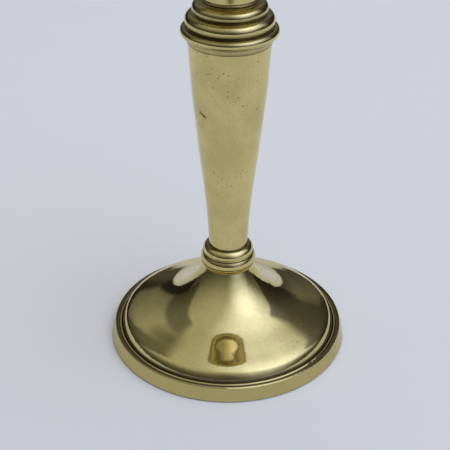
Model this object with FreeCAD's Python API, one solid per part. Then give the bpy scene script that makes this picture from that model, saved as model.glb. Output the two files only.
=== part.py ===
"""Altar candlestick in brass, built up on one tie rod.

Millimetres, +Z up. The origin is the centre of the baize pad's underside, on the surface that
the candlestick stands on. Every turned piece is round about the Z axis.
"""
import FreeCAD
import Part
import math
import os

# ---- driving dimensions ---------------------------------------------------------------------

# Foot
FOOT_RADIUS = 59.2          # widest point of the rim, at its lower edge
RIM_LEAN = 1.8              # how far the rim's face leans in from its lower edge to its shoulder
RIM_FACE_HEIGHT = 6.3       # leaning face, up to where the shoulder begins to round
RIM_HEIGHT = 6.8            # from the rim's lower edge to the top of its rounded shoulder
RIM_SHOULDER = 0.6          # how far the rounded shoulder runs in
RIM_SHOULDER_POINT = (0.22, 0.6)    # middle of the rounding: share of its run, share of its rise
RIM_WALL = 2.2
GROOVE_WIDTH = 1.4          # groove between the rim and the thin bead
GROOVE_DEPTH = 0.9
BEAD_WIDTH = 1.6            # thin bead around the dome
DOME_STEP = 0.75            # dome edge below the top of the bead
DOME_RISE = 34.1            # from the dome's edge up to the neck's top
NECK_RADIUS = 12.2
SHELL_WALL = 1.8
# Shape of the dome from its edge to its neck: share of the run in, share of the rise. A steep edge
# turns over tightly into a gentle slope, which sweeps up into the neck.
DOME_SHAPE = ((0.016, 0.057), (0.034, 0.107), (0.053, 0.142), (0.087, 0.172), (0.212, 0.234),
              (0.332, 0.288), (0.445, 0.338), (0.536, 0.388), (0.632, 0.458), (0.740, 0.564),
              (0.849, 0.701), (0.933, 0.842))
DOME_STATIONS = 25          # points that carry the dome's inside
NECK_SEAT_DEPTH = 6.4       # straight bore in the neck, for the collar's spigot

# Underside
PAD_THICKNESS = 1.2
PAD_PROUD = 0.6             # the pad stands this much below the rim
PAD_MARGIN = 1.7            # pad edge to the rim's inner wall
PLATE_THICKNESS = 1.2
BALLAST_HEIGHT = 21.0
BALLAST_RADIUS = 49.0
NUT_WELL_RADIUS = 11.0
NUT_WELL_DEPTH = 12.5
SCREW_COUNT = 3
SCREW_CIRCLE_RADIUS = 34.0
SCREW_RADIUS = 2.0          # M4 countersunk
SCREW_HEAD_RADIUS = 3.8
SCREW_LENGTH = 9.0

# Collar between foot and column
COLLAR_BAND_HEIGHT = 6.6
COLLAR_BAND_BULGE = 1.35
COLLAR_BAND_WIDEST = 0.56   # share of the band's height
COLLAR_BAND_TOP_OUT = 0.35  # band's top beyond the neck
COLLAR_BEAD_HEIGHT = 0.9
COLLAR_BEAD_IN = 0.1        # bead inside the neck's radius
COLLAR_BEAD_ROUND = 0.3
COLLAR_GROOVE_DEPTH = 0.5
COLLAR_ROLL_HEIGHT = 4.0
COLLAR_ROLL_RUN = 1.9       # how far the upper roll curves in, from its lower edge to its top
COLLAR_ROLL_OUT = 0.15      # roll beyond the neck's radius
COLLAR_ROLL_POINT = (0.27, 0.62)    # middle of the roll: share of its run, share of its rise
COLLAR_GROOVE_LOW = 0.2     # groove under the roll: its lower and upper edge above the bead
COLLAR_GROOVE_HIGH = 0.45

# Column: narrow at the foot, wide at the shoulder
COLUMN_HEIGHT = 104.4
COLUMN_FOOT_RADIUS = 9.4
COLUMN_TOP_RADIUS = 18.75
COLUMN_WALL = 1.4
COLUMN_SEAT_DEPTH = 5.6     # straight bore at each end, for a spigot
COLUMN_STATIONS = 9         # points that carry its bore
# Share of the height, share of the widening
COLUMN_SHAPE = ((0.10, 0.06), (0.27, 0.215), (0.45, 0.455), (0.63, 0.67), (0.80, 0.86), (0.91, 0.94))

# Roll arcs: the middle point of the arc below and above the widest point, as shares of run and rise
ROLL_UNDER_POINT = (0.72, 0.32)
ROLL_OVER_POINT = (0.26, 0.74)

# Shoulder: three stacked rings, each a plain fillet below a roll
FILLET_HEIGHT_LOWER = 2.9
FILLET_STEP_LOWER = 0.35    # fillet stands out from the column's top
ROLL_LOWER = (2.85, 4.8, 0.40)      # bulge, height, share of the height at the widest point
ROLL_LOWER_IN = 0.1                 # how far the roll's top lies inside its fillet
FILLET_HEIGHT_MIDDLE = 0.4
ROLL_MIDDLE = (0.75, 5.8, 0.14)
ROLL_MIDDLE_IN = 2.6
FILLET_HEIGHT_UPPER = 0.3
ROLL_UPPER = (0.35, 4.75, 0.10)
ROLL_UPPER_IN = 3.4
JOINT_GROOVE = 0.45         # V between one ring and the next
JOINT_GROOVE_RISE = 0.27    # height of its lower edge above the joint
RING_SPIGOT_STEP = 4.0      # upper fillet's radius to the rings' spigots
TOP_TUBE_SEAT_HEIGHT = 1.3    # small fillet that carries the top tube
TOP_TUBE_SEAT_STEP = 0.7      # how far it stands out from the top tube

# Top tube, drip pan and candle socket
TOP_TUBE_RADIUS = 12.0
TOP_TUBE_HEIGHT = 22.0
TOP_TUBE_FLOOR = 4.0
TOP_TUBE_SPIGOT_STEP = 2.5  # tube's radius to its spigot's
TOP_TUBE_SPIGOT_SHORT = 0.3 # spigot stops this much above its socket's floor
TOP_TUBE_LIP_OUT = 2.2
TOP_TUBE_LIP_HEIGHT = 2.4
PLUG_RADIUS = 9.8           # plug under the candle socket, in the top tube's bore
PLUG_LENGTH = 7.0
SOCKET_BORE_RADIUS = 11.3   # for a 22 mm (7/8 inch) candle
SOCKET_WALL = 1.2
SOCKET_HEIGHT = 22.0        # above the drip dish
SOCKET_FLOOR = 1.5
SOCKET_LIP = 0.9            # roll at the mouth: its radius
SOCKET_FOOT_OUT = 2.0       # bead at the socket's foot: how far it stands out, and its height
SOCKET_FOOT_HEIGHT = 2.4
DISH_RADIUS = 35.5
DISH_WALL = 0.9
DISH_FLAT_RADIUS = 21.0
DISH_RISE = 7.0
DISH_BEAD_RADIUS = 1.1

# Tie rod and its fasteners (M8)
ROD_RADIUS = 4.0
ROD_HOLE_CLEARANCE = 0.3
ROD_TAIL = 1.6              # rod shown beyond each nut
THREAD_DEPTH = 0.45
THREAD_PITCH = 1.25
THREAD_HALF_SHARE = 0.42    # half the groove's width at the rod's surface, as a share of the pitch
THREAD_LENGTH = 14.0
NUT_FLATS = 13.0
NUT_HEIGHT = 6.5
NUT_CHAMFER = 0.6           # height of the corners' chamfer over its width
NUT_CHAMFER_OVER = 0.01     # cutter beyond the corners
WASHER_RADIUS = 8.0
WASHER_THICKNESS = 1.4
SPRING_WASHER_RADIUS = 7.2
SPRING_WASHER_THICKNESS = 1.8
SPRING_WASHER_SLOT = 1.6

# Fits
SPIGOT_HEIGHT = 4.0
SPIGOT_CLEARANCE = 0.06     # on the radius, pieces clamped by the rod
PLUG_CLEARANCE = 0.08       # on the radius, plug in the top tube
DISH_SEAT_GAP = 0.05        # dish above the top tube's lip
DISH_SOLDER_GAP = 0.02      # dish to plug and to socket
PLATE_CLEARANCE = 0.25      # on the radius, base plate in rim
BALLAST_GAP = 0.05          # ballast to the inside of the dome
NUT_BORE_CLEARANCE = 0.05   # nut to the bottom of the thread

# ---- levels and radii that follow -----------------------------------------------------------

RIM_BOTTOM = PAD_PROUD
RIM_TOP = RIM_BOTTOM + RIM_HEIGHT
RIM_FACE_TOP = RIM_BOTTOM + RIM_FACE_HEIGHT
RIM_INNER_RADIUS = FOOT_RADIUS - RIM_WALL
SHOULDER_RADIUS = FOOT_RADIUS - RIM_LEAN
GROOVE_OUTER_RADIUS = SHOULDER_RADIUS - RIM_SHOULDER
BEAD_OUTER_RADIUS = GROOVE_OUTER_RADIUS - GROOVE_WIDTH
DOME_RADIUS = BEAD_OUTER_RADIUS - BEAD_WIDTH
DOME_BOTTOM = RIM_TOP - DOME_STEP
FOOT_TOP = DOME_BOTTOM + DOME_RISE
NECK_BORE_RADIUS = NECK_RADIUS - SHELL_WALL
PLATE_BOTTOM = PAD_THICKNESS
PLATE_TOP = PLATE_BOTTOM + PLATE_THICKNESS
NUT_WELL_TOP = PLATE_TOP + NUT_WELL_DEPTH
ROD_HOLE_RADIUS = ROD_RADIUS + ROD_HOLE_CLEARANCE
COLLAR_TOP = FOOT_TOP + COLLAR_BAND_HEIGHT + COLLAR_BEAD_HEIGHT + COLLAR_ROLL_HEIGHT
COLUMN_TOP = COLLAR_TOP + COLUMN_HEIGHT
COLUMN_FOOT_BORE = COLUMN_FOOT_RADIUS - COLUMN_WALL
COLUMN_TOP_BORE = COLUMN_TOP_RADIUS - COLUMN_WALL
LOWER_FILLET_RADIUS = COLUMN_TOP_RADIUS + FILLET_STEP_LOWER
LOWER_TOP = COLUMN_TOP + FILLET_HEIGHT_LOWER + ROLL_LOWER[1]
MIDDLE_FILLET_RADIUS = LOWER_FILLET_RADIUS - ROLL_LOWER_IN
MIDDLE_TOP = LOWER_TOP + FILLET_HEIGHT_MIDDLE + ROLL_MIDDLE[1]
UPPER_FILLET_RADIUS = MIDDLE_FILLET_RADIUS - ROLL_MIDDLE_IN
UPPER_ROLL_TOP = MIDDLE_TOP + FILLET_HEIGHT_UPPER + ROLL_UPPER[1]
TOP_TUBE_SEAT_RADIUS = TOP_TUBE_RADIUS + TOP_TUBE_SEAT_STEP
TOP_TUBE_BOTTOM = UPPER_ROLL_TOP + TOP_TUBE_SEAT_HEIGHT
TOP_TUBE_TOP = TOP_TUBE_BOTTOM + TOP_TUBE_HEIGHT
TOP_TUBE_FLOOR_TOP = TOP_TUBE_BOTTOM + TOP_TUBE_FLOOR
TOP_TUBE_BORE_RADIUS = PLUG_RADIUS + PLUG_CLEARANCE
TOP_TUBE_SPIGOT_RADIUS = TOP_TUBE_RADIUS - TOP_TUBE_SPIGOT_STEP
RING_SPIGOT_RADIUS = UPPER_FILLET_RADIUS - RING_SPIGOT_STEP
DISH_BOTTOM = TOP_TUBE_TOP + DISH_SEAT_GAP
DISH_TOP = DISH_BOTTOM + DISH_WALL
SOCKET_BOTTOM = DISH_TOP + DISH_SOLDER_GAP
SOCKET_TOP = SOCKET_BOTTOM + SOCKET_HEIGHT
SOCKET_RADIUS = SOCKET_BORE_RADIUS + SOCKET_WALL
ROD_BOTTOM = NUT_WELL_TOP - WASHER_THICKNESS - SPRING_WASHER_THICKNESS - NUT_HEIGHT - ROD_TAIL
ROD_TOP = TOP_TUBE_FLOOR_TOP + WASHER_THICKNESS + NUT_HEIGHT + ROD_TAIL
AXIS = FreeCAD.Vector(0, 0, 1)


# ---- drawing helpers ------------------------------------------------------------------------

def at(radius, height):
    """Point of a half section: distance from the axis, and height."""
    return FreeCAD.Vector(radius, 0, height)


def arc_through(start, middle, end):
    return Part.Arc(at(*start), at(*middle), at(*end)).toShape()


def smooth_curve(points):
    """Curve through points of a half section."""
    curve = Part.BSplineCurve()
    curve.interpolate([at(*place) for place in points])
    return curve


def curve_inside(curve, gap, stations):
    """Points at a fixed distance inside an outer curve that runs upwards."""
    shifted = []
    for station in range(stations):
        share = station / (stations - 1)
        parameter = curve.FirstParameter + share * (curve.LastParameter - curve.FirstParameter)
        place = curve.value(parameter)
        heading = curve.tangent(parameter)[0]
        shifted.append((place.x - heading.z * gap, place.z + heading.x * gap))
    return shifted


def turned(steps):
    """Solid of revolution. A step is a point to go straight to, or an edge to follow."""
    edges = []
    here = None
    first = None
    for step in steps:
        if isinstance(step, tuple):
            start = at(*step)
            end = start
        else:
            start = step.Vertexes[0].Point
            end = step.Vertexes[-1].Point
        if here is None:
            first = start
        elif here.distanceToPoint(start) > 1e-6:
            edges.append(Part.LineSegment(here, start).toShape())
        if not isinstance(step, tuple):
            edges.append(step)
        here = end
    if here.distanceToPoint(first) > 1e-6:
        edges.append(Part.LineSegment(here, first).toShape())
    section = Part.Face(Part.Wire(edges))
    return section.revolve(FreeCAD.Vector(0, 0, 0), AXIS, 360)


def ring(outer, inner, bottom, top):
    """Plain round washer or tube."""
    return turned([(inner, bottom), (outer, bottom), (outer, top), (inner, top)])


def rod_thread(bottom, top):
    """Annular grooves that stand for a thread, as one tool to cut away."""
    tools = []
    count = int((top - bottom) / THREAD_PITCH)
    for index in range(count):
        level = bottom + (index + 0.5) * THREAD_PITCH
        half = THREAD_PITCH * THREAD_HALF_SHARE
        tools.append(turned([(ROD_RADIUS - THREAD_DEPTH, level),
                             (ROD_RADIUS + THREAD_DEPTH, level - 2 * half),
                             (ROD_RADIUS + THREAD_DEPTH, level + 2 * half)]))
    return Part.makeCompound(tools)


def hex_nut(bottom):
    """M8 nut with chamfered corners, on the axis."""
    corner = NUT_FLATS / 2 / math.cos(math.pi / 6)
    corners = []
    for turn in range(7):
        angle = turn * math.pi / 3
        corners.append(FreeCAD.Vector(corner * math.cos(angle), corner * math.sin(angle), bottom))
    prism = Part.Face(Part.makePolygon(corners)).extrude(FreeCAD.Vector(0, 0, NUT_HEIGHT))
    edge = corner - NUT_FLATS / 2
    top = bottom + NUT_HEIGHT
    widest = corner + NUT_CHAMFER_OVER
    chamfered = turned([(0, bottom), (NUT_FLATS / 2, bottom), (widest, bottom + edge * NUT_CHAMFER),
                        (widest, top - edge * NUT_CHAMFER), (NUT_FLATS / 2, top), (0, top)])
    bore = Part.makeCylinder(ROD_RADIUS + NUT_BORE_CLEARANCE, NUT_HEIGHT, FreeCAD.Vector(0, 0, bottom))
    return prism.common(chamfered).cut(bore)


# ---- foot -----------------------------------------------------------------------------------

def dome_curve():
    """Outside of the dome, from its edge in and up to the neck."""
    run = DOME_RADIUS - NECK_RADIUS
    points = [(DOME_RADIUS, DOME_BOTTOM)]
    for share_in, share_up in DOME_SHAPE:
        points.append((DOME_RADIUS - share_in * run, DOME_BOTTOM + share_up * DOME_RISE))
    points.append((NECK_RADIUS, FOOT_TOP))
    return smooth_curve(points)


def foot_inside(gap):
    """Half section of the space under the foot, at a distance from its outside."""
    inner = curve_inside(dome_curve(), gap, DOME_STATIONS)
    inner = [place for place in inner if place[1] < FOOT_TOP - NECK_SEAT_DEPTH]
    return smooth_curve(inner).toShape()


def foot_shell():
    """Spun dome with its bead, groove and leaning rim."""
    outside = [
        (RIM_INNER_RADIUS, RIM_BOTTOM),
        (FOOT_RADIUS, RIM_BOTTOM),
        arc_through((SHOULDER_RADIUS, RIM_FACE_TOP),
                    (SHOULDER_RADIUS - RIM_SHOULDER * RIM_SHOULDER_POINT[0],
                     RIM_FACE_TOP + (RIM_TOP - RIM_FACE_TOP) * RIM_SHOULDER_POINT[1]),
                    (GROOVE_OUTER_RADIUS, RIM_TOP)),
        arc_through((GROOVE_OUTER_RADIUS, RIM_TOP - GROOVE_DEPTH * 0.3),
                    (GROOVE_OUTER_RADIUS - GROOVE_WIDTH / 2, RIM_TOP - GROOVE_DEPTH),
                    (BEAD_OUTER_RADIUS, RIM_TOP - BEAD_WIDTH / 2)),
        arc_through((BEAD_OUTER_RADIUS, RIM_TOP - BEAD_WIDTH / 2),
                    (BEAD_OUTER_RADIUS - BEAD_WIDTH / 2, RIM_TOP),
                    (DOME_RADIUS, RIM_TOP - BEAD_WIDTH / 2)),
        dome_curve().toShape(),
    ]
    hollow_edge = foot_inside(SHELL_WALL)
    narrow_end = hollow_edge.Vertexes[-1].Point
    inside = [
        (NECK_BORE_RADIUS, FOOT_TOP),
        (NECK_BORE_RADIUS, narrow_end.z),
        reversed_edge(hollow_edge),
        (DOME_RADIUS - SHELL_WALL, RIM_TOP - GROOVE_DEPTH - SHELL_WALL),
        (RIM_INNER_RADIUS, RIM_TOP - GROOVE_DEPTH - SHELL_WALL),
    ]
    return turned(outside + inside)


def reversed_edge(edge):
    """The same curve run from its other end."""
    curve = edge.Curve.copy()
    curve.reverse()
    return curve.toShape()


def screw_places():
    """Centres of the base plate's screws."""
    places = []
    for index in range(SCREW_COUNT):
        angle = 2 * math.pi * index / SCREW_COUNT + math.pi / 2
        across = SCREW_CIRCLE_RADIUS * math.cos(angle)
        along = SCREW_CIRCLE_RADIUS * math.sin(angle)
        places.append(FreeCAD.Vector(across, along, 0))
    return places


def screw_body(bottom, clearance):
    """Countersunk screw that points up: its head's face at the bottom."""
    head_height = SCREW_HEAD_RADIUS - SCREW_RADIUS
    head_radius = SCREW_HEAD_RADIUS + clearance
    shank_radius = SCREW_RADIUS + clearance
    return turned([(0, bottom), (head_radius, bottom), (shank_radius, bottom + head_height),
                   (shank_radius, bottom + SCREW_LENGTH + clearance), (0, bottom + SCREW_LENGTH + clearance)])


def at_screws(tool):
    """One copy of a shape at each screw."""
    return Part.makeCompound([tool.translated(place) for place in screw_places()])


def baize_pad():
    """Baize disc glued over the base plate and its screws."""
    return Part.makeCylinder(RIM_INNER_RADIUS - PAD_MARGIN, PAD_THICKNESS)


def base_plate():
    radius = RIM_INNER_RADIUS - PLATE_CLEARANCE
    plate = Part.makeCylinder(radius, PLATE_THICKNESS, FreeCAD.Vector(0, 0, PLATE_BOTTOM))
    return plate.cut(at_screws(screw_body(PLATE_BOTTOM, 0)))


def base_plate_screws():
    """Countersunk screws, each with a cross slot in its head."""
    screw = screw_body(PLATE_BOTTOM, 0)
    slot_length = SCREW_HEAD_RADIUS * 1.2
    slot_width = SCREW_HEAD_RADIUS * 0.25
    slot_depth = SCREW_HEAD_RADIUS * 0.3
    for length, width in ((slot_length, slot_width), (slot_width, slot_length)):
        corner = FreeCAD.Vector(-length / 2, -width / 2, PLATE_BOTTOM)
        screw = screw.cut(Part.makeBox(length, width, slot_depth, corner))
    return at_screws(screw)


def foot_ballast():
    """Cast iron weight that fills the dome and carries the rod's lower nut in a well."""
    slope = foot_inside(SHELL_WALL + BALLAST_GAP)
    narrow_end = slope.Vertexes[-1].Point
    filling = turned([(0, PLATE_TOP), (DOME_RADIUS - SHELL_WALL, PLATE_TOP), slope, (0, narrow_end.z)])
    slab = Part.makeCylinder(BALLAST_RADIUS, BALLAST_HEIGHT, FreeCAD.Vector(0, 0, PLATE_TOP))
    well = Part.makeCylinder(NUT_WELL_RADIUS, NUT_WELL_DEPTH, FreeCAD.Vector(0, 0, PLATE_TOP))
    rod_hole = Part.makeCylinder(ROD_HOLE_RADIUS, BALLAST_HEIGHT, FreeCAD.Vector(0, 0, PLATE_TOP))
    tapped = at_screws(screw_body(PLATE_BOTTOM, 0))
    return filling.common(slab).cut(well).cut(rod_hole).cut(tapped)


# ---- tie rod and fasteners ------------------------------------------------------------------

def tie_rod():
    rod = Part.makeCylinder(ROD_RADIUS, ROD_TOP - ROD_BOTTOM, FreeCAD.Vector(0, 0, ROD_BOTTOM))
    rod = rod.cut(rod_thread(ROD_BOTTOM + THREAD_PITCH / 2, ROD_BOTTOM + THREAD_LENGTH))
    return rod.cut(rod_thread(ROD_TOP - THREAD_LENGTH, ROD_TOP - THREAD_PITCH / 2))


def foot_washer():
    return ring(WASHER_RADIUS, ROD_HOLE_RADIUS, NUT_WELL_TOP - WASHER_THICKNESS, NUT_WELL_TOP)


def foot_spring_washer():
    """Split spring washer between the flat washer and the nut."""
    top = NUT_WELL_TOP - WASHER_THICKNESS
    bottom = top - SPRING_WASHER_THICKNESS
    body = ring(SPRING_WASHER_RADIUS, ROD_HOLE_RADIUS, bottom, top)
    slot_corner = FreeCAD.Vector(0, -SPRING_WASHER_SLOT / 2, bottom)
    slot_length = SPRING_WASHER_RADIUS * 1.1
    slot = Part.makeBox(slot_length, SPRING_WASHER_SLOT, SPRING_WASHER_THICKNESS, slot_corner)
    return body.cut(slot)


def foot_nut():
    return hex_nut(ROD_BOTTOM + ROD_TAIL)


def top_washer():
    return ring(WASHER_RADIUS, ROD_HOLE_RADIUS, TOP_TUBE_FLOOR_TOP, TOP_TUBE_FLOOR_TOP + WASHER_THICKNESS)


def top_nut():
    return hex_nut(TOP_TUBE_FLOOR_TOP + WASHER_THICKNESS)


# ---- collar and column ----------------------------------------------------------------------

def neck_collar():
    """Turned collar on the foot's neck: bulging band, thin bead and an upper roll."""
    band_top = FOOT_TOP + COLLAR_BAND_HEIGHT
    bead_top = band_top + COLLAR_BEAD_HEIGHT
    bead_radius = NECK_RADIUS - COLLAR_BEAD_IN
    groove_radius = bead_radius - COLLAR_GROOVE_DEPTH
    roll_radius = NECK_RADIUS + COLLAR_ROLL_OUT
    roll_top_radius = roll_radius - COLLAR_ROLL_RUN
    roll_bottom = bead_top + COLLAR_GROOVE_HIGH
    spigot_down = NECK_BORE_RADIUS - SPIGOT_CLEARANCE
    spigot_up = COLUMN_FOOT_BORE - SPIGOT_CLEARANCE
    return turned([
        (ROD_HOLE_RADIUS, FOOT_TOP - SPIGOT_HEIGHT),
        (spigot_down, FOOT_TOP - SPIGOT_HEIGHT),
        (spigot_down, FOOT_TOP),
        arc_through((NECK_RADIUS, FOOT_TOP),
                    (NECK_RADIUS + COLLAR_BAND_BULGE, FOOT_TOP + COLLAR_BAND_HEIGHT * COLLAR_BAND_WIDEST),
                    (NECK_RADIUS + COLLAR_BAND_TOP_OUT, band_top)),
        arc_through((bead_radius - COLLAR_BEAD_ROUND, band_top),
                    (bead_radius, band_top + COLLAR_BEAD_HEIGHT / 2),
                    (bead_radius - COLLAR_BEAD_ROUND, bead_top)),
        (groove_radius, bead_top + COLLAR_GROOVE_LOW),
        (groove_radius, roll_bottom),
        arc_through((roll_radius, roll_bottom),
                    (roll_radius - COLLAR_ROLL_RUN * COLLAR_ROLL_POINT[0],
                     roll_bottom + (COLLAR_TOP - roll_bottom) * COLLAR_ROLL_POINT[1]),
                    (roll_top_radius, COLLAR_TOP)),
        (spigot_up, COLLAR_TOP),
        (spigot_up, COLLAR_TOP + SPIGOT_HEIGHT),
        (ROD_HOLE_RADIUS, COLLAR_TOP + SPIGOT_HEIGHT),
    ])


def column():
    """Tapered tube, narrow at the foot, with a slight waist above the collar."""
    widening = COLUMN_TOP_RADIUS - COLUMN_FOOT_RADIUS
    points = [(COLUMN_FOOT_RADIUS, COLLAR_TOP)]
    for share_up, share_out in COLUMN_SHAPE:
        points.append((COLUMN_FOOT_RADIUS + share_out * widening, COLLAR_TOP + share_up * COLUMN_HEIGHT))
    points.append((COLUMN_TOP_RADIUS, COLUMN_TOP))
    outside = smooth_curve(points)
    inner = curve_inside(outside, COLUMN_WALL, COLUMN_STATIONS)
    low = COLLAR_TOP + COLUMN_SEAT_DEPTH
    high = COLUMN_TOP - COLUMN_SEAT_DEPTH
    inner = [place for place in inner if low < place[1] < high]
    bore = smooth_curve([(COLUMN_FOOT_BORE, low)] + inner + [(COLUMN_TOP_BORE, high)])
    return turned([outside.toShape(), (COLUMN_TOP_BORE, COLUMN_TOP), reversed_edge(bore.toShape()),
                   (COLUMN_FOOT_BORE, COLLAR_TOP)])


# ---- shoulder -------------------------------------------------------------------------------

def roll_edges(radius, bottom, roll, run_in):
    """Bulging roll above a fillet: out from the fillet, round, and in at the top."""
    bulge, height, widest_share = roll
    widest = bottom + height * widest_share
    top = bottom + height
    top_radius = radius - run_in
    under = arc_through((radius, bottom),
                        (radius + bulge * ROLL_UNDER_POINT[0],
                         bottom + (widest - bottom) * ROLL_UNDER_POINT[1]),
                        (radius + bulge, widest))
    depth = radius + bulge - top_radius
    over = arc_through((radius + bulge, widest),
                       (radius + bulge - depth * ROLL_OVER_POINT[0],
                        widest + (top - widest) * ROLL_OVER_POINT[1]),
                       (top_radius + JOINT_GROOVE, top - JOINT_GROOVE))
    return [under, over]


def shoulder_ring(bottom, fillet_radius, fillet_height, roll, run_in, spigot_radius, socket_radius):
    """One turned ring, with a spigot below and a socket above for the next ring's spigot."""
    top = bottom + fillet_height + roll[1]
    top_radius = fillet_radius - run_in
    return turned([
        (ROD_HOLE_RADIUS, bottom - SPIGOT_HEIGHT),
        (spigot_radius - SPIGOT_CLEARANCE, bottom - SPIGOT_HEIGHT),
        (spigot_radius - SPIGOT_CLEARANCE, bottom),
        (fillet_radius - JOINT_GROOVE, bottom),
        (fillet_radius, bottom + JOINT_GROOVE_RISE),
    ] + roll_edges(fillet_radius, bottom + fillet_height, roll, run_in) + [
        (top_radius - JOINT_GROOVE, top),
        (socket_radius, top),
        (socket_radius, top - SPIGOT_HEIGHT - SPIGOT_CLEARANCE),
        (ROD_HOLE_RADIUS, top - SPIGOT_HEIGHT - SPIGOT_CLEARANCE),
    ])


def shoulder_ring_lower():
    return shoulder_ring(COLUMN_TOP, LOWER_FILLET_RADIUS, FILLET_HEIGHT_LOWER, ROLL_LOWER, ROLL_LOWER_IN,
                         COLUMN_TOP_BORE, RING_SPIGOT_RADIUS)


def shoulder_ring_middle():
    return shoulder_ring(LOWER_TOP, MIDDLE_FILLET_RADIUS, FILLET_HEIGHT_MIDDLE, ROLL_MIDDLE, ROLL_MIDDLE_IN,
                         RING_SPIGOT_RADIUS, RING_SPIGOT_RADIUS)


def shoulder_ring_upper():
    """Top ring, with the small fillet that the top tube stands on."""
    body = shoulder_ring(MIDDLE_TOP, UPPER_FILLET_RADIUS, FILLET_HEIGHT_UPPER, ROLL_UPPER, ROLL_UPPER_IN,
                         RING_SPIGOT_RADIUS, TOP_TUBE_SPIGOT_RADIUS)
    half = TOP_TUBE_SEAT_HEIGHT / 2
    seat = turned([
        (TOP_TUBE_SPIGOT_RADIUS, UPPER_ROLL_TOP - SPIGOT_CLEARANCE),
        (TOP_TUBE_SPIGOT_RADIUS, TOP_TUBE_BOTTOM),
        arc_through((TOP_TUBE_SEAT_RADIUS - half, TOP_TUBE_BOTTOM),
                    (TOP_TUBE_SEAT_RADIUS, UPPER_ROLL_TOP + half),
                    (TOP_TUBE_SEAT_RADIUS - half, UPPER_ROLL_TOP)),
        (TOP_TUBE_SEAT_RADIUS - half, UPPER_ROLL_TOP - SPIGOT_CLEARANCE),
    ])
    return body.fuse(seat).removeSplitter()


# ---- top tube, drip pan and candle socket ----------------------------------------------------

def top_tube():
    """Short tube with a flared lip. The rod's upper nut sits on its floor."""
    lip_radius = TOP_TUBE_RADIUS + TOP_TUBE_LIP_OUT
    lip_bottom = TOP_TUBE_TOP - TOP_TUBE_LIP_HEIGHT
    spigot_bottom = TOP_TUBE_BOTTOM - SPIGOT_HEIGHT + TOP_TUBE_SPIGOT_SHORT
    return turned([
        (ROD_HOLE_RADIUS, spigot_bottom),
        (TOP_TUBE_SPIGOT_RADIUS - SPIGOT_CLEARANCE, spigot_bottom),
        (TOP_TUBE_SPIGOT_RADIUS - SPIGOT_CLEARANCE, TOP_TUBE_BOTTOM),
        (TOP_TUBE_RADIUS, TOP_TUBE_BOTTOM),
        arc_through((TOP_TUBE_RADIUS, lip_bottom - TOP_TUBE_LIP_OUT),
                    (TOP_TUBE_RADIUS + TOP_TUBE_LIP_OUT * 0.29, lip_bottom - TOP_TUBE_LIP_OUT * 0.29),
                    (lip_radius, lip_bottom)),
        arc_through((lip_radius, lip_bottom),
                    (lip_radius + TOP_TUBE_LIP_HEIGHT * 0.35, lip_bottom + TOP_TUBE_LIP_HEIGHT / 2),
                    (lip_radius, TOP_TUBE_TOP)),
        (TOP_TUBE_BORE_RADIUS, TOP_TUBE_TOP),
        (TOP_TUBE_BORE_RADIUS, TOP_TUBE_FLOOR_TOP),
        (ROD_HOLE_RADIUS, TOP_TUBE_FLOOR_TOP),
    ])


def candle_socket():
    """Candle socket with a plug below, which drops into the top tube."""
    plug_bottom = DISH_BOTTOM - PLUG_LENGTH
    foot_radius = SOCKET_RADIUS + SOCKET_FOOT_OUT
    lip_middle = SOCKET_TOP - SOCKET_LIP
    return turned([
        (0, plug_bottom),
        (PLUG_RADIUS, plug_bottom),
        (PLUG_RADIUS, SOCKET_BOTTOM),
        (SOCKET_RADIUS, SOCKET_BOTTOM),
        arc_through((SOCKET_RADIUS + SOCKET_FOOT_OUT / 2, SOCKET_BOTTOM),
                    (foot_radius, SOCKET_BOTTOM + SOCKET_FOOT_HEIGHT / 2),
                    (SOCKET_RADIUS + SOCKET_FOOT_OUT / 2, SOCKET_BOTTOM + SOCKET_FOOT_HEIGHT)),
        (SOCKET_RADIUS, SOCKET_BOTTOM + SOCKET_FOOT_HEIGHT),
        arc_through((SOCKET_RADIUS, lip_middle - SOCKET_LIP),
                    (SOCKET_RADIUS + SOCKET_LIP, lip_middle),
                    (SOCKET_RADIUS, SOCKET_TOP)),
        (SOCKET_BORE_RADIUS, SOCKET_TOP),
        (SOCKET_BORE_RADIUS, SOCKET_BOTTOM + SOCKET_FLOOR),
        (0, SOCKET_BOTTOM + SOCKET_FLOOR),
    ])


def drip_dish():
    """Shallow wax dish with a rolled edge, soldered under the candle socket."""
    inner_radius = PLUG_RADIUS + DISH_SOLDER_GAP
    edge_radius = DISH_RADIUS - DISH_BEAD_RADIUS
    edge_height = DISH_BOTTOM + DISH_RISE
    lower = (DISH_FLAT_RADIUS + (edge_radius - DISH_FLAT_RADIUS) * 0.62, DISH_BOTTOM + DISH_RISE * 0.22)
    upper = (lower[0] - DISH_WALL * 0.5, lower[1] + DISH_WALL * 0.95)
    bead_low = (edge_radius + DISH_BEAD_RADIUS * 0.1, edge_height - DISH_BEAD_RADIUS)
    bead_high = (edge_radius - DISH_BEAD_RADIUS * 0.9, edge_height + DISH_BEAD_RADIUS * 0.4)
    return turned([
        (inner_radius, DISH_BOTTOM),
        arc_through((DISH_FLAT_RADIUS, DISH_BOTTOM), lower, bead_low),
        arc_through(bead_low, (DISH_RADIUS, edge_height + DISH_BEAD_RADIUS * 0.3), bead_high),
        arc_through(bead_high, upper, (DISH_FLAT_RADIUS, DISH_TOP)),
        (inner_radius, DISH_TOP),
    ])


# ---- export ---------------------------------------------------------------------------------

PIECES = (baize_pad, base_plate, base_plate_screws, foot_ballast, foot_shell, foot_washer, foot_spring_washer,
          foot_nut, tie_rod, neck_collar, column, shoulder_ring_lower, shoulder_ring_middle,
          shoulder_ring_upper, top_tube, top_washer, top_nut, candle_socket, drip_dish)

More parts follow.
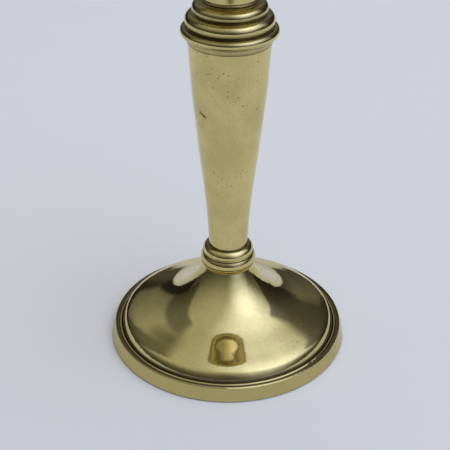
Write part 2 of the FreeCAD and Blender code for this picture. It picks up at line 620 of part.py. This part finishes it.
os.makedirs("parts", exist_ok=True)
for piece in PIECES:
    shape = piece()
    shape.exportStep("parts/" + piece.__name__ + ".step")
    box = shape.BoundBox
    print(piece.__name__, shape.isValid(), len(shape.Solids), round(shape.Volume, 1),
          round(box.XMax, 2), round(box.ZMin, 2), round(box.ZMax, 2))
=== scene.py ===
"""Looks of the brass altar candlestick. Metres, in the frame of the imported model, +Z up."""

import math

import bpy
from mathutils import Matrix, Vector

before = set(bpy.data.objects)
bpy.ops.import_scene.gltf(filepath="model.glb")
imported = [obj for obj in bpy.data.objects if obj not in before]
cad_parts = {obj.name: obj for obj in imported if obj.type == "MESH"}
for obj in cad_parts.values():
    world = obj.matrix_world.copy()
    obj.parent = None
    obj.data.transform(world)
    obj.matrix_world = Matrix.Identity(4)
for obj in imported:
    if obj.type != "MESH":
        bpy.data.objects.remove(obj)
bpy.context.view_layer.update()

MM = 0.001

# ---- camera and stage -----------------------------------------------------------------------

CAMERA_PLACE = Vector((-1.6, -439.0, 326.7)) * MM
CAMERA_TILT = math.radians(31.11)      # below the horizon
CAMERA_ROLL = math.radians(0.35)
CAMERA_LENS = 84.2
SENSOR_WIDTH = 36.0

FLOOR_COLOUR = (0.80, 0.795, 0.745)
FLOOR_FRONT = -0.52         # metres; the camera stands at -0.44
FLOOR_BACK = 2.5
FLOOR_WIDTH = 2.6
FLOOR_ROUGHNESS = 0.75

# The studio's window, as patches of soft light. Azimuth 0 is towards the camera, and positive to its
# right. Each patch: azimuth, elevation, inner and outer angle, strength, colour.
SOFT_LIGHTS = (
    (76, 60, 6, 50, 1.12, (0.84, 0.97, 1.52)),      # window, to the right
    (44, 30, 4, 44, 0.60, (0.86, 0.98, 1.46)),      # its lower part
)
# The room's own light, from dark low down to bright overhead
SKY_LOW = 0.055
SKY_HIGH = 0.52
SKY_BOTTOM_ANGLE = -5.0
SKY_TOP_ANGLE = 62.0
SKY_COLOUR = (0.98, 1.0, 0.95)
# Dark furniture: from azimuth, to azimuth, from elevation, to elevation, edge, level kept
DARK_SHAPES = (
    (110, 153, -20, 46, 3, 0.27),
    (-139, -103, 10, 60, 4, 0.38),
    (-163, -124, -12, 14, 3, 0.20),
)
# Soft light from behind and overhead, for the floor
TOP_LIGHT_PLACE = (150.0, 72.0, 1.25)      # azimuth, elevation, distance in metres
TOP_LIGHT_SIZE = 1.2
TOP_LIGHT_POWER = 3.6


# ---- node helpers ---------------------------------------------------------------------------

class Shader:
    """Node tree of one material, built call by call."""

    def __init__(self, tree):
        self.tree = tree
        tree.nodes.clear()

    def add(self, kind, settings=(), **inputs):
        """New node. i0, i1 and so on are inputs by number, other names are inputs by name. Each is
        a socket to link from, or a value to set."""
        node = self.tree.nodes.new("ShaderNode" + kind)
        for name, value in dict(settings).items():
            setattr(node, name, value)
        for name, value in inputs.items():
            numbered = name[0] == "i" and name[1:].isdigit()
            socket = node.inputs[int(name[1:]) if numbered else name]
            if isinstance(value, bpy.types.NodeSocket):
                self.tree.links.new(value, socket)
            else:
                socket.default_value = value
        return node

    def math(self, operation, first, second=0.0):
        return self.add("Math", {"operation": operation}, i0=first, i1=second).outputs[0]

    def scale(self, vector, factor):
        """Vector, or colour, times a number."""
        return self.add("VectorMath", {"operation": "SCALE"}, i0=vector, Scale=factor).outputs[0]

    def dot(self, first, second):
        settings = {"operation": "DOT_PRODUCT"}
        return self.add("VectorMath", settings, i0=first, i1=second).outputs["Value"]

    def metal(self, colour, metallic, roughness, bump):
        """Finished surface of metal."""
        surface = self.add("BsdfPrincipled", Metallic=metallic, Roughness=roughness, Normal=bump.outputs[0],
                           **{"Base Color": colour})
        self.add("OutputMaterial", Surface=surface.outputs[0])

    def mix(self, share, first, second):
        """Blend of two colours."""
        return self.add("MixRGB", i0=share, i1=first, i2=second).outputs[0]

    def smooth(self, value, low, high, start=0.0, end=1.0):
        """Soft step from start, below low, to end, above high."""
        settings = {"interpolation_type": "SMOOTHSTEP"}
        return self.add("MapRange", settings, i0=value, i1=low, i2=high, i3=start, i4=end).outputs[0]

    def noise(self, vector, scale, detail=2.0, roughness=0.5):
        inputs = {"Vector": vector, "Scale": scale, "Detail": detail, "Roughness": roughness}
        return self.add("TexNoise", **inputs).outputs[0]


def new_material(name):
    material = bpy.data.materials.new(name)
    material.use_nodes = True
    return material, Shader(material.node_tree)


def direction(azimuth, elevation):
    """Unit vector. Azimuth 0 is towards the camera, and positive to its right."""
    a = math.radians(azimuth)
    e = math.radians(elevation)
    return Vector((math.sin(a) * math.cos(e), -math.cos(a) * math.cos(e), math.sin(e)))


# ---- stage ----------------------------------------------------------------------------------

def add_camera():
    data = bpy.data.cameras.new("camera")
    data.lens = CAMERA_LENS
    data.sensor_width = SENSOR_WIDTH
    camera = bpy.data.objects.new("camera", data)
    bpy.context.scene.collection.objects.link(camera)
    turn = Matrix.Rotation(math.pi / 2 - CAMERA_TILT, 4, "X") @ Matrix.Rotation(CAMERA_ROLL, 4, "Z")
    camera.matrix_world = Matrix.Translation(CAMERA_PLACE) @ turn
    bpy.context.scene.camera = camera


def add_floor():
    """Pale table top. It ends in front of the viewer, so low reflections there are dark."""
    bpy.ops.mesh.primitive_plane_add(size=1.0, location=(0, (FLOOR_BACK + FLOOR_FRONT) / 2, 0))
    floor = bpy.context.object
    floor.name = "floor"
    floor.scale = (FLOOR_WIDTH, FLOOR_BACK - FLOOR_FRONT, 1)
    material, shader = new_material("floor")
    surface = shader.add("BsdfPrincipled", **{"Base Color": (*FLOOR_COLOUR, 1), "Roughness": FLOOR_ROUGHNESS})
    shader.add("OutputMaterial", Surface=surface.outputs[0])
    floor.data.materials.append(material)


def between(shader, value, low, high, edge):
    """One between low and high, zero outside, with soft edges."""
    rising = shader.smooth(value, low - edge, low + edge)
    falling = shader.smooth(value, high - edge, high + edge, 1.0, 0.0)
    return shader.math("MULTIPLY", rising, falling)


def add_room():
    """Soft studio light from all round."""
    world = bpy.data.worlds.new("room")
    bpy.context.scene.world = world
    world.use_nodes = True
    shader = Shader(world.node_tree)
    way = shader.add("TexCoord").outputs["Generated"]
    across, along, up = shader.add("SeparateXYZ", i0=way).outputs
    elevation = shader.math("DEGREES", shader.math("ARCSINE", up))
    towards = shader.math("MULTIPLY", along, -1.0)
    azimuth = shader.math("DEGREES", shader.math("ARCTAN2", across, towards))

    sky = shader.smooth(elevation, SKY_BOTTOM_ANGLE, SKY_TOP_ANGLE, SKY_LOW, SKY_HIGH)
    total = shader.scale(SKY_COLOUR, sky)
    for light_azimuth, light_elevation, inner, outer, strength, colour in SOFT_LIGHTS:
        centre = tuple(direction(light_azimuth, light_elevation))
        facing = shader.dot(way, centre)
        angle = shader.math("DEGREES", shader.math("ARCCOSINE", facing))
        share = shader.smooth(angle, inner, outer, strength, 0.0)
        glow = shader.scale(colour, share)
        total = shader.add("VectorMath", i0=total, i1=glow).outputs[0]
    for left, right, low, high, edge, kept in DARK_SHAPES:
        inside = shader.math("MULTIPLY", between(shader, azimuth, left, right, edge),
                             between(shader, elevation, low, high, edge))
        level = shader.math("SUBTRACT", 1.0, shader.math("MULTIPLY", inside, 1.0 - kept))
        total = shader.scale(total, level)

    background = shader.add("Background", Color=total, Strength=1.0)
    shader.add("OutputWorld", Surface=background.outputs[0])


def add_top_light():
    """Large soft light, kept out of reflections."""
    data = bpy.data.lights.new("top_light", "AREA")
    data.size = TOP_LIGHT_SIZE
    data.energy = TOP_LIGHT_POWER
    lamp = bpy.data.objects.new("top_light", data)
    bpy.context.scene.collection.objects.link(lamp)
    azimuth, elevation, distance = TOP_LIGHT_PLACE
    way = direction(azimuth, elevation)
    turn = way.to_track_quat("Z", "Y").to_matrix().to_4x4()
    lamp.matrix_world = Matrix.Translation(way * distance) @ turn
    lamp.visible_glossy = False


# ---- materials ------------------------------------------------------------------------------

BRASS_CLEAN = (0.70, 0.585, 0.255, 1)
BRASS_AGED = (0.50, 0.41, 0.165, 1)
BRASS_SPOT = (0.16, 0.12, 0.06, 1)
# Dark colour of the dirt in the joints and grooves, also used for the painted shade beside the shoulder
# rings' joints
BRASS_TARNISH_AND_SHADE = (0.10, 0.085, 0.055, 1)
BRASS_ROUGHNESS = 0.055

# Detail of the brass, in features per metre
CLOUD_SCALE = 46.0
MOTTLE_SCALE = 620.0
GRAIN_SCALE = 2600.0
WAVE_SCALE = 150.0
HAIRLINE_SCALE = (1500.0, 1500.0, 90.0)     # stretched along the axis
# Dark pits and smaller specks: cells per metre, size as a share of a cell
PITS = (460.0, 0.20)
SPECKS = (1050.0, 0.30)
# A broad noise from here up to there lets the pits in; the foot has fewer
PIT_CROWDING = (0.47, 0.60)
FOOT_PIT_CROWDING = (0.60, 0.70)
MARK_STRENGTH = 0.8
# How strongly the dirt, and the painted shade beside the shoulder rings' joints, darken the brass
DIRT_AND_SHADE_STRENGTH = 0.85

# Heights at which dirt has gathered in a joint or a groove, for each brass piece, in mm; beside these joints
# the shoulder rings also get painted shade
BRASS_JOINTS = {
    "foot_shell": (40.75,),
    "neck_collar": (40.75, 47.4, 48.45, 52.25),
    "column": (52.25, 156.65),
    "shoulder_ring_lower": (156.65, 159.55, 164.35),
    "shoulder_ring_middle": (164.35, 164.75, 170.55),
    "shoulder_ring_upper": (170.55, 170.85, 175.6, 176.9),
    "top_tube": (176.9,),
    "candle_socket": (199.87, 202.27),
    "drip_dish": (),
}
JOINT_DIRT_CORE = 0.15 * MM
JOINT_DIRT_REACH = 0.55 * MM
# Painted shade beside the joints of the shoulder rings: a darker, rougher band
RING_PAINTED_SHADE = 0.62
PAINTED_SHADE_CORE = 0.3 * MM
PAINTED_SHADE_REACH = 2.6 * MM
# The foot's rim is handled the most and is duller
RIM_TOP = 7.5 * MM
RIM_FADE = 0.4 * MM
RIM_AGE = 0.7
# Rings on the foot where dirt has gathered: radius and half width
FOOT_DIRT_RINGS = ((56.1 * MM, 0.75 * MM), (53.75 * MM, 0.55 * MM))

# One long dark scratch on the column, to the left of the front
SCRATCH_AZIMUTH = -46.0
SCRATCH_HEIGHT = 126.0 * MM
SCRATCH_COLUMN_RADIUS = 16.0 * MM
SCRATCH_HALF_LENGTH = 2.5 * MM
SCRATCH_HALF_WIDTH = 1.05 * MM
SCRATCH_LEAN = math.radians(-27.0)     # from the horizontal, down to the right
SCRATCH_RAGGED_SCALE = 1400.0


def scratch_mask(shader, place):
    """One along a short stroke on the column's surface."""
    a = math.radians(SCRATCH_AZIMUTH)
    centre = Vector((math.sin(a) * SCRATCH_COLUMN_RADIUS, -math.cos(a) * SCRATCH_COLUMN_RADIUS,
                     SCRATCH_HEIGHT))
    sideways = Vector((math.cos(a), math.sin(a), 0))
    along = sideways * math.cos(SCRATCH_LEAN) + Vector((0, 0, math.sin(SCRATCH_LEAN)))
    across = sideways * -math.sin(SCRATCH_LEAN) + Vector((0, 0, math.cos(SCRATCH_LEAN)))
    offset = shader.add("VectorMath", {"operation": "SUBTRACT"}, i0=place, i1=tuple(centre)).outputs[0]
    ragged = shader.math("MULTIPLY", shader.noise(place, SCRATCH_RAGGED_SCALE), 0.7 * SCRATCH_HALF_WIDTH)
    masks = []
    for way, half in ((along, SCRATCH_HALF_LENGTH), (across, SCRATCH_HALF_WIDTH)):
        reach = shader.math("ABSOLUTE", shader.dot(offset, tuple(way)))
        reach = shader.math("ADD", reach, ragged)
        masks.append(shader.smooth(reach, half * 0.7, half * 1.35, 1.0, 0.0))
    return shader.math("MULTIPLY", masks[0], masks[1])


def joint_dirt_and_shade_mask(shader, place, joints, crease_shade):
    """One in the joints and grooves, where polish and wax stay behind, and painted shade beside them."""
    height = shader.add("SeparateXYZ", i0=place).outputs["Z"]
    ragged = shader.math("MULTIPLY", shader.noise(place, 260.0), 0.5 * MM)
    darkening = 0.0
    for level in joints:
        away = shader.math("ABSOLUTE", shader.math("SUBTRACT", height, level * MM))
        away = shader.math("ADD", away, ragged)
        line = shader.smooth(away, JOINT_DIRT_CORE, JOINT_DIRT_REACH, 1.0, 0.0)
        # painted shade: a wider dark band beside each joint, on the shoulder rings only
        painted_shade = shader.smooth(away, PAINTED_SHADE_CORE, PAINTED_SHADE_REACH, crease_shade, 0.0)
        darkening = shader.math("MAXIMUM", darkening, shader.math("MAXIMUM", line, painted_shade))
    return darkening


def foot_ring_mask(shader, place):
    """One in the groove round the dome, and in the crease at the dome's edge."""
    across, along, height = shader.add("SeparateXYZ", i0=place).outputs
    flat = shader.add("CombineXYZ", X=across, Y=along).outputs[0]
    radius = shader.add("VectorMath", {"operation": "LENGTH"}, i0=flat).outputs["Value"]
    darkening = 0.0
    for middle, half_width in FOOT_DIRT_RINGS:
        away = shader.math("ABSOLUTE", shader.math("SUBTRACT", radius, middle))
        ring = shader.smooth(away, half_width * 0.6, half_width * 1.5, 1.0, 0.0)
        darkening = shader.math("MAXIMUM", darkening, ring)
    return darkening


def pit_mask(shader, place, scale, size, low, high):
    """Small dark pits, more of them where a broad noise is high."""
    swirl = shader.add("TexNoise", Vector=place, Scale=scale * 2.2).outputs["Color"]
    wander = shader.scale(swirl, 0.35 / scale)
    moved = shader.add("VectorMath", i0=place, i1=wander).outputs[0]
    cells = shader.add("TexVoronoi", Vector=moved, Scale=scale)
    spot = shader.smooth(cells.outputs["Distance"], size * 0.5, size, 1.0, 0.0)
    chance = shader.add("SeparateColor", i0=cells.outputs["Color"]).outputs[0]
    picked = shader.smooth(chance, 0.55, 0.62)
    crowd = shader.smooth(shader.noise(place, 38.0, 1.0), low, high)
    return shader.math("MULTIPLY", shader.math("MULTIPLY", spot, picked), crowd)


def brass(part, joints):
    """Polished and aged brass: cloudy tone, pits, hairlines and dirt in the joints, with painted shade beside
    the shoulder rings' joints.
    """
    material, shader = new_material("brass_" + part)
    place = shader.add("TexCoord").outputs["Object"]
    cloud = shader.smooth(shader.noise(place, CLOUD_SCALE, 4.0, 0.6), 0.40, 0.68)
    mottle = shader.noise(place, MOTTLE_SCALE, 3.0, 0.65)
    colour = shader.mix(shader.math("MULTIPLY", cloud, 0.55), BRASS_CLEAN, BRASS_AGED)
    colour = shader.mix(shader.smooth(mottle, 0.52, 0.78, 0.0, 0.45), colour, BRASS_AGED)
    if part == "foot_shell":
        height = shader.add("SeparateXYZ", i0=place).outputs["Z"]
        aged = shader.smooth(height, RIM_TOP, RIM_TOP + RIM_FADE, RIM_AGE, 0.0)
        colour = shader.mix(aged, colour, BRASS_AGED)

    crowding = FOOT_PIT_CROWDING if part == "foot_shell" else PIT_CROWDING
    spots = pit_mask(shader, place, *PITS, *crowding)
    specks = pit_mask(shader, place, *SPECKS, *crowding)
    marks = shader.math("MAXIMUM", spots, shader.math("MULTIPLY", specks, 0.6))
    if part == "column":
        marks = shader.math("MAXIMUM", marks, scratch_mask(shader, place))
    colour = shader.mix(shader.math("MULTIPLY", marks, MARK_STRENGTH), colour, BRASS_SPOT)

    # Painted shade beside the joints, on the shoulder rings only
    crease_shade = RING_PAINTED_SHADE if part.startswith("shoulder_ring") else 0.0
    darkening = joint_dirt_and_shade_mask(shader, place, joints, crease_shade)
    if part == "foot_shell":
        darkening = shader.math("MAXIMUM", darkening, foot_ring_mask(shader, place))
    # The dirt, and on the shoulder rings the painted shade, darken and roughen the brass
    darkening = shader.math("MULTIPLY", darkening, DIRT_AND_SHADE_STRENGTH)
    colour = shader.mix(darkening, colour, BRASS_TARNISH_AND_SHADE)

    stretched = shader.add("Mapping", Vector=place, Scale=HAIRLINE_SCALE).outputs[0]
    hairlines = shader.smooth(shader.noise(stretched, 1.0, 2.0), 0.60, 0.74)
    roughness = BRASS_ROUGHNESS
    for value, weight in ((cloud, 0.03), (mottle, 0.03), (hairlines, 0.05), (marks, 0.35), (darkening, 0.4)):
        roughness = shader.math("ADD", roughness, shader.math("MULTIPLY", value, weight))

    grain = shader.math("MULTIPLY", shader.noise(place, GRAIN_SCALE, 2.0), 0.1)
    waves = shader.math("MULTIPLY", shader.noise(place, WAVE_SCALE), 0.9)
    height = shader.math("ADD", shader.math("SUBTRACT", grain, marks), waves)
    bump = shader.add("Bump", Height=height, Distance=0.03 * MM, Strength=0.5)
    shader.metal(colour, 1.0, roughness, bump)
    return material


STEEL_PARTS = ("base_plate", "base_plate_screws", "foot_washer", "foot_spring_washer", "foot_nut",
               "tie_rod", "top_washer", "top_nut")


def steel():
    """Dull zinc-plated steel with fine crystals and rubbed patches."""
    material, shader = new_material("steel")
    place = shader.add("TexCoord").outputs["Object"]
    crystals = shader.add("TexVoronoi", Vector=place, Scale=900.0).outputs["Color"]
    tone = shader.add("SeparateColor", i0=crystals).outputs[0]
    rubbed = shader.smooth(shader.noise(place, 120.0, 4.0, 0.6), 0.42, 0.66)
    colour = shader.mix(tone, (0.46, 0.47, 0.48, 1), (0.60, 0.61, 0.61, 1))
    colour = shader.mix(shader.math("MULTIPLY", rubbed, 0.5), colour, (0.40, 0.38, 0.33, 1))
    roughness = shader.smooth(rubbed, 0.0, 1.0, 0.30, 0.48)
    bump = shader.add("Bump", Height=shader.noise(place, 1500.0, 3.0), Distance=0.04 * MM, Strength=0.6)
    shader.metal(colour, 1.0, roughness, bump)
    return material


def cast_iron():
    """Rough sand-cast iron, dark, with traces of rust."""
    material, shader = new_material("cast_iron")
    place = shader.add("TexCoord").outputs["Object"]
    sand = shader.noise(place, 900.0, 4.0, 0.7)
    rust = shader.smooth(shader.noise(place, 90.0, 4.0, 0.6), 0.55, 0.72)
    colour = shader.mix(sand, (0.035, 0.034, 0.033, 1), (0.085, 0.082, 0.078, 1))
    colour = shader.mix(shader.math("MULTIPLY", rust, 0.6), colour, (0.13, 0.055, 0.025, 1))
    bump = shader.add("Bump", Height=sand, Distance=0.4 * MM, Strength=0.8)
    shader.metal(colour, 0.5, 0.75, bump)
    return material


def baize():
    """Green felted wool: short tangled fibres, with a soft sheen."""
    material, shader = new_material("baize")
    place = shader.add("TexCoord").outputs["Object"]
    swirl = shader.add("TexNoise", Vector=place, Scale=420.0, Detail=2.0).outputs["Color"]
    warped = shader.add("VectorMath", i0=place, i1=shader.scale(swirl, 4 * MM)).outputs[0]
    fibres = shader.noise(warped, 2400.0, 5.0, 0.75)
    nap = shader.noise(place, 70.0, 3.0)
    colour = shader.mix(fibres, (0.010, 0.050, 0.020, 1), (0.045, 0.150, 0.060, 1))
    worn = shader.smooth(nap, 0.45, 0.75, 0.0, 0.35)
    colour = shader.mix(worn, colour, (0.075, 0.150, 0.085, 1))
    bump = shader.add("Bump", Height=fibres, Distance=0.4 * MM, Strength=0.9)
    surface = shader.add("BsdfPrincipled", Roughness=0.95, Normal=bump.outputs[0],
                         **{"Base Color": colour, "Sheen Weight": 0.5, "Sheen Roughness": 0.4})
    shader.add("OutputMaterial", Surface=surface.outputs[0])
    return material


def dress(node, material):
    """Give one CAD piece its material."""
    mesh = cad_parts[node].data
    mesh.materials.clear()
    mesh.materials.append(material)


# ---- build ----------------------------------------------------------------------------------

add_camera()
add_floor()
add_room()
add_top_light()

for brass_part, levels in BRASS_JOINTS.items():
    dress(brass_part, brass(brass_part, levels))
zinc_plated = steel()
for steel_part in STEEL_PARTS:
    dress(steel_part, zinc_plated)
dress("foot_ballast", cast_iron())
dress("baize_pad", baize())

bpy.context.scene.view_settings.view_transform = "Standard"
